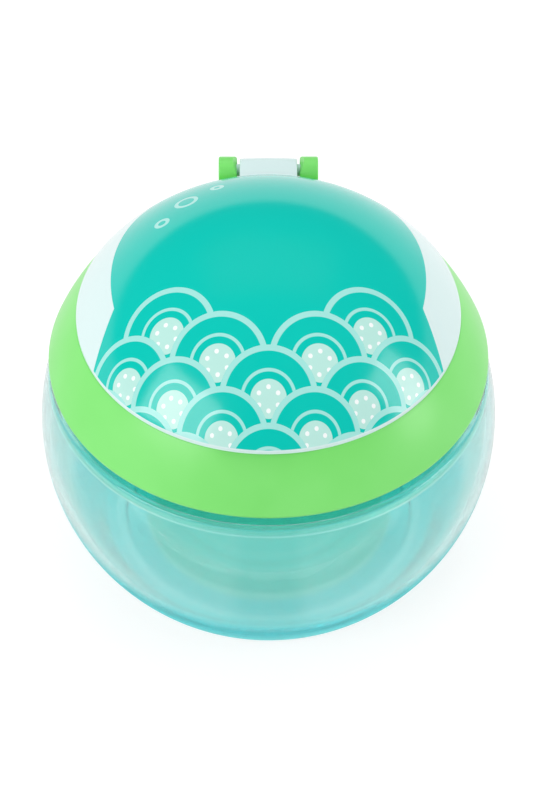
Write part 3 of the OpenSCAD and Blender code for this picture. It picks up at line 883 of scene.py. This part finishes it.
du, dv, row, reach, fan_u = over(fan_row(1.0), over(fan_row(0.0), fan_row(-1.0)))
fan_v = row * FAN_ROW + FRONT_V
crest = CREST_V + CREST_CURVE * (fan_u * fan_u)
drawn = (crest - fan_v).between(-0.05, 0.05)
drawn = drawn * (1 - reach.between(FAN_R - 0.01, FAN_R + 0.01))
sideways = fan_u.maths("ABSOLUTE") + SIDE_SLOPE * fan_v
drawn = drawn * (1 - sideways.between(FAN_SIDE, FAN_SIDE + 0.1))
outline = reach.between(FAN_R - FAN_LINE - SOFT, FAN_R - FAN_LINE) * drawn
inner_line = reach.between(INNER - INNER_LINE, INNER - INNER_LINE + 0.15) * drawn
inner_line = inner_line * (1 - reach.between(INNER, INNER + SOFT))
core = (1 - reach.between(CORE_R, CORE_R + SOFT)) * drawn

# %% Dots in the cores, rings on the field, and the inks
DOT_STEP, DOT_R, DOT_SIZE = math.pi / 3, 0.22 * FAN_R, 0.42
RINGS, RING_LINE = [(-17.5, 18.0, 2.6), (-11.0, 22.5, 1.5), (-22.5, 11.5, 1.7)], 0.9
FIELD_U, FIELD_V, FIELD_MID = 34.5, 43.0, 2.0
FIELD_SIDE, FIELD_LOW_V = 28.2, -8.1
angle = dv.maths("ARCTAN2", du)
slice_at = (angle / DOT_STEP).maths("FLOOR") * DOT_STEP + DOT_STEP / 2
dot_u = slice_at.maths("COSINE") * DOT_R
dot_v = slice_at.maths("SINE") * DOT_R
dots = 1 - (du - dot_u).length_with(dv - dot_v).between(DOT_SIZE, DOT_SIZE + SOFT)


def disc(cu, cv, r):
    """1 inside a circle on the unrolled dome."""
    return 1 - (u - cu).length_with(v - cv).between(r, r + SOFT)


rings = 0.0
for cu, cv, r in RINGS:
    rings = disc(cu, cv, r) * (1 - disc(cu, cv, r - RING_LINE)) + rings

field = 1 - (u / FIELD_U).length_with((v - FIELD_MID) / FIELD_V).between(1.0, 1.004)
lower_field = u.maths("ABSOLUTE") + SIDE_SLOPE * v
lower_field = 1 - lower_field.between(FIELD_SIDE, FIELD_SIDE + 0.15)
lower_field = lower_field * (1 - v.between(FIELD_LOW_V, FIELD_LOW_V + 0.1))
field = field.maths("MAXIMUM", lower_field).maths("MAXIMUM", drawn)
ink = lid_finish.colours(outline + inner_line, TEAL, LINE)
ink = lid_finish.colours(core, ink, PALE)
ink = lid_finish.colours(core * dots, ink, WHITE)
ink = lid_finish.colours(rings, ink, LINE)
body_mint = lid_finish.colours(z.between(PART_Z - 0.2, EDGE_Z + 0.3), RIM_MINT, MINT)
printed = on_dome * field
lid_finish.feed("Base Color", lid_finish.colours(printed, body_mint, ink))
lid_smear = lid_finish.noise(lid_finish.place, 70.0)
lid_finish.feed("Roughness", 0.1 + 0.06 * lid_smear + 0.02 * printed)
lid_finish.bump(lid_smear * 0.6 + printed * 0.15, 0.00003)
lid_finish.dress(lid)

# %% [markdown]
# The flaps and the seal are silicone: milky, with a dry satin surface that scatters
# some light inside.

# %% The silicone
silicone = Finish("Milky silicone", {"IOR": 1.41, "Subsurface Weight": 0.15,
                                     "Subsurface Scale": 0.002})
haze = silicone.noise(silicone.place, 130.0)
pores = silicone.noise(silicone.place, 3200.0, 3.0)
silicone.feed("Base Color", silicone.colours(haze, tint(214, 238, 235), tint(226, 245, 242)))
silicone.feed("Roughness", 0.38 + 0.14 * pores)
silicone.bump(haze + 0.12 * pores, 0.00004)
silicone.dress(ring, seal, *petals)

# %% [markdown]
# The studio is a white floor, even white surroundings and soft panels. Rays from the
# camera, and those that clear plastic sends on, see plain white. What a mirror would
# see is drawn apart: a white floor and backdrop up to 12 degrees, a dark ceiling, and
# in front a dark gap between two panels, where the camera stands. That gap is the
# soft dark stripe down the middle of a glossy ball. Round the foot the floor is drawn
# for mirrors in a darker cyan: painted light for what falls there through the cup,
# and painted shade of the cup.

# %% Which rays ask
AMBIENT, SEEN_GLOW, SENT_GLOW = 0.58, 0.78, 0.8
# The floor round the foot, for mirrors: painted caustic light and painted shade of the cup.
CAUSTIC_R, CAUSTIC_SOFT, CAUSTIC_TINT = 40.0, 17.0, tint(78, 218, 220)
DARK_SKY, DARK_FROM, DARK_TO = 0.92, 0.2, 0.26
SKY_GAP, SKY_GAP_SIDES = 0.85, (0.14, 0.34)
FLOOR_GAP, FLOOR_GAP_SIDES = 0.6, (0.12, 0.26)


class Rays:
    """Light Path's outputs, as signals of one recipe."""

    def __init__(self, recipe):
        self.node = recipe.tree.nodes.new("ShaderNodeLightPath")
        self.recipe = recipe

    def kind(self, name):
        return Signal(self.recipe, self.node.outputs[name])


def front_gap(x, y, soft_from, soft_to):
    """1 straight in front of the object, 0 at the sides and behind."""
    side = x.maths("ABSOLUTE") / (x.length_with(y) + 0.000001)
    return (1 - side.between(soft_from, soft_to)) * (1 - y.between(-0.01, 0.0))


# %% The studio's surroundings
world = bpy.data.worlds.new("Studio")
world.use_nodes = True
bpy.context.scene.world = world
studio = Recipe(world.node_tree)
rays = Rays(studio)
background = world.node_tree.nodes["Background"]
split = studio.tree.nodes.new("ShaderNodeSeparateXYZ")
studio.tree.links.new(studio.add("ShaderNodeTexCoord", {}, {}, 0).socket, split.inputs[0])
sky_x, sky_y, sky_z = [Signal(studio, out) for out in split.outputs]
mirror_level = 1 - DARK_SKY * sky_z.between(DARK_FROM, DARK_TO)
mirror_level = mirror_level * (1 - SKY_GAP * front_gap(sky_x, sky_y, *SKY_GAP_SIDES))
strength = choose(rays.kind("Is Glossy Ray"), AMBIENT, mirror_level)
plain = rays.kind("Is Camera Ray") + rays.kind("Is Transmission Ray")
strength = choose(plain.maths("MINIMUM", 1.0), strength, 1.0)
background.inputs["Color"].default_value = (1, 1, 1, 1)
studio.tree.links.new(strength.socket, background.inputs["Strength"])

# %% The floor
FLOOR_SIZE = 3.0
PAPER_PLAIN, PAPER_SEEN, PAPER_SENT, PAPER_MIRRORED = [
    (level, level, level, 1) for level in (0.8, 0.33, 0.25, 0.05)]
floor_bm = bmesh.new()
bmesh.ops.create_grid(floor_bm, x_segments=1, y_segments=1, size=FLOOR_SIZE)
floor = piece_from("floor", floor_bm)
paper = Finish("White paper", {"Roughness": 0.9, "Specular IOR Level": 0.0,
                               "Emission Strength": 1.0})
fibre = paper.noise(paper.place, 400.0)
paper.feed("Roughness", 0.85 + 0.1 * fibre)
floor_x, floor_y, _ = paper.axes()
rays = Rays(paper)
seen, sent, mirrored = [rays.kind("Is %s Ray" % name)
                        for name in ("Camera", "Transmission", "Glossy")]
mirrored = mirrored * (1 - sent)
gap = front_gap(floor_x, floor_y, *FLOOR_GAP_SIDES)
# Painted caustic light and shade of the cup round the foot, seen only by mirrors.
round_foot = 1 - floor_x.length_with(floor_y).between(CAUSTIC_R, CAUSTIC_R + CAUSTIC_SOFT)
reflected = 1 - FLOOR_GAP * gap * (1 - round_foot)
glow = SEEN_GLOW * seen + SENT_GLOW * sent + mirrored * reflected
caustic_colour = paper.colours(round_foot * mirrored, (1, 1, 1, 1), CAUSTIC_TINT)
paper.feed("Emission Color", paper.add("ShaderNodeMix", {
    "data_type": "RGBA", "blend_type": "MULTIPLY"}, {0: 1.0, 6: glow, 7: caustic_colour}, 2))
white = paper.colours(seen, PAPER_PLAIN, PAPER_SEEN)
white = paper.colours(sent, white, PAPER_SENT)
paper.feed("Base Color", paper.colours(mirrored, white, PAPER_MIRRORED))
paper.dress(floor)

# %% The soft panels


def soft_panel(name, place, aim, width, height, watts):
    lamp = bpy.data.lights.new(name, "AREA")
    lamp.shape, lamp.size, lamp.size_y, lamp.energy = "RECTANGLE", width, height, watts
    panel = bpy.data.objects.new(name, lamp)
    bpy.context.scene.collection.objects.link(panel)
    panel.location = place
    panel.rotation_euler = (Vector(aim) - Vector(place)).to_track_quat("-Z", "Y").to_euler()
    return panel


soft_panel("left_panel", (-0.55, -0.42, 0.42), (0, 0, 0.04), 0.5, 0.4, 2.5)
soft_panel("right_panel", (0.75, -0.16, 0.3), (0, 0, 0.04), 0.3, 0.5, 1.7)
back_panel = soft_panel("back_panel", (0, 0.5, 0.9), (0, 0, 0.05), 0.9, 0.6, 3.0)
back_panel.visible_glossy = False

# %% [markdown]
# The camera stands in front, 47 degrees up, and looks almost at the middle of the
# cup. A long lens gives the photo's flat perspective.

# %% The camera
ELEVATION, DISTANCE, LENS = math.radians(46.7), 0.600, 127.2
AIM, SHIFT_RIGHT, SHIFT_UP = Vector((0, 0, 0.0327)), 0.00031, 0.00063
back = Vector((0, -math.cos(ELEVATION), math.sin(ELEVATION)))
screen_up = Vector((0, math.sin(ELEVATION), math.cos(ELEVATION)))
target = AIM + Vector((SHIFT_RIGHT, 0, 0)) + screen_up * SHIFT_UP
camera = bpy.data.objects.new("camera", bpy.data.cameras.new("camera"))
bpy.context.scene.collection.objects.link(camera)
camera.data.lens, camera.data.sensor_width = LENS, 36.0
camera.location = AIM + back * DISTANCE
camera.rotation_euler = (target - camera.location).to_track_quat("-Z", "Y").to_euler()
bpy.context.scene.camera = camera
bpy.context.scene.view_settings.view_transform = "Standard"
